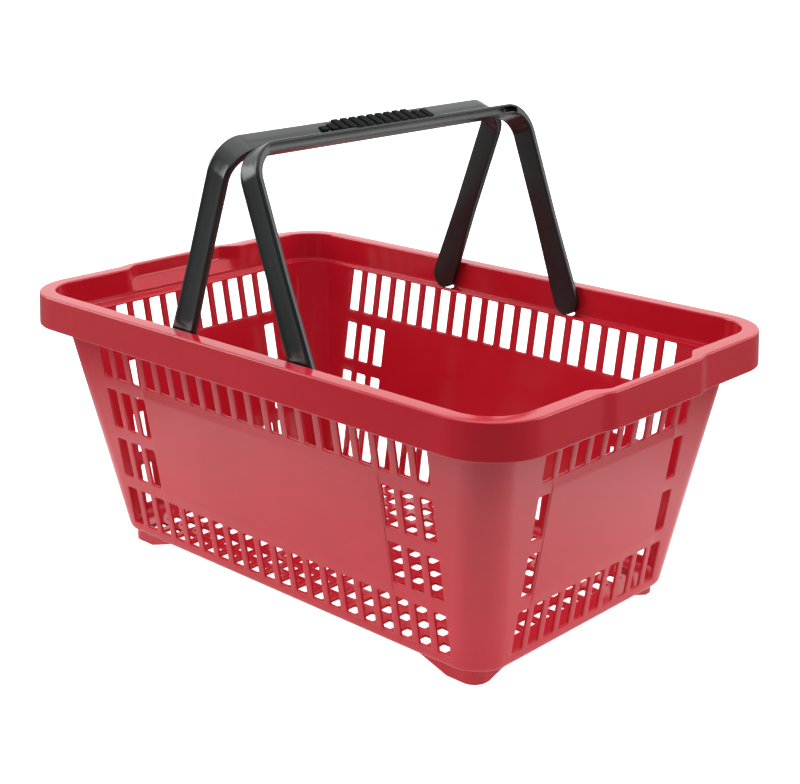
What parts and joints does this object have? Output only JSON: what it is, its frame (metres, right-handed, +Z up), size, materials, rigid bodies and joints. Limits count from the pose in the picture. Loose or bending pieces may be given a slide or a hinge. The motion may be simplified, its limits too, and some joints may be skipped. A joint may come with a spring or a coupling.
{
  "type": "shopping basket",
  "caption": "Rectangular tapered hand basket with slotted walls, a deep hollow rim and U-shaped carry handles that fold down into the rim.",
  "frame": {"origin": "centre of the footprint, on the surface the feet stand on", "axes": "+Z up, X along the length, Y across the width; the handles turn about axes along Y"},
  "size_m": [0.462, 0.295, 0.3239],
  "materials": {
    "tub_plastic": "satin red polypropylene",
    "handle_plastic": "satin dark grey polypropylene",
    "handle_grip": "fine matt texture"
  },
  "bodies": {
    "basket": {"basket_floor": "tub_plastic", "wall_front": "tub_plastic", "wall_back": "tub_plastic", "wall_left": "tub_plastic", "wall_right": "tub_plastic", "corner_front_left": "tub_plastic", "corner_front_right": "tub_plastic", "corner_back_left": "tub_plastic", "corner_back_right": "tub_plastic", "edge_front": "tub_plastic", "edge_back": "tub_plastic", "edge_left": "tub_plastic", "edge_right": "tub_plastic", "edge_corner_front_left": "tub_plastic", "edge_corner_front_right": "tub_plastic", "edge_corner_back_left": "tub_plastic", "edge_corner_back_right": "tub_plastic", "panel_front": "tub_plastic", "panel_back": "tub_plastic", "panel_left": "tub_plastic", "panel_right": "tub_plastic", "rim_front": "tub_plastic", "rim_back": "tub_plastic", "rim_left": "tub_plastic", "rim_right": "tub_plastic", "rim_corner_front_left": "tub_plastic", "rim_corner_front_right": "tub_plastic", "rim_corner_back_left": "tub_plastic", "rim_corner_back_right": "tub_plastic", "ledge_front": "tub_plastic", "ledge_back": "tub_plastic", "ledge_left": "tub_plastic", "ledge_right": "tub_plastic", "ledge_corner_front_left": "tub_plastic", "ledge_corner_front_right": "tub_plastic", "ledge_corner_back_left": "tub_plastic", "ledge_corner_back_right": "tub_plastic", "foot_front_left": "tub_plastic", "foot_front_right": "tub_plastic", "foot_back_left": "tub_plastic", "foot_back_right": "tub_plastic"},
    "handle_left": {"handle_left_bar": "handle_plastic", "handle_left_grip": "handle_grip", "handle_left_bend_front": "handle_plastic", "handle_left_bend_back": "handle_plastic", "handle_left_leg_front": "handle_plastic", "handle_left_leg_back": "handle_plastic", "handle_left_pivot_front": "handle_plastic", "handle_left_pivot_back": "handle_plastic"},
    "handle_right": {"handle_right_bar": "handle_plastic", "handle_right_grip": "handle_grip", "handle_right_bend_front": "handle_plastic", "handle_right_bend_back": "handle_plastic", "handle_right_leg_front": "handle_plastic", "handle_right_leg_back": "handle_plastic", "handle_right_pivot_front": "handle_plastic", "handle_right_pivot_back": "handle_plastic"}
  },
  "joints": [
    {"name": "handle_left_hinge", "type": "hinge", "parent": "basket", "child": "handle_left", "pos_m": [-0.0589, 0, 0.1831], "axis": [0, 1, 0], "range_deg": [-110.2, 0]},
    {"name": "handle_right_hinge", "type": "hinge", "parent": "basket", "child": "handle_right", "pos_m": [0.0589, 0, 0.1831], "axis": [0, 1, 0], "range_deg": [0, 110.2]}
  ]
}
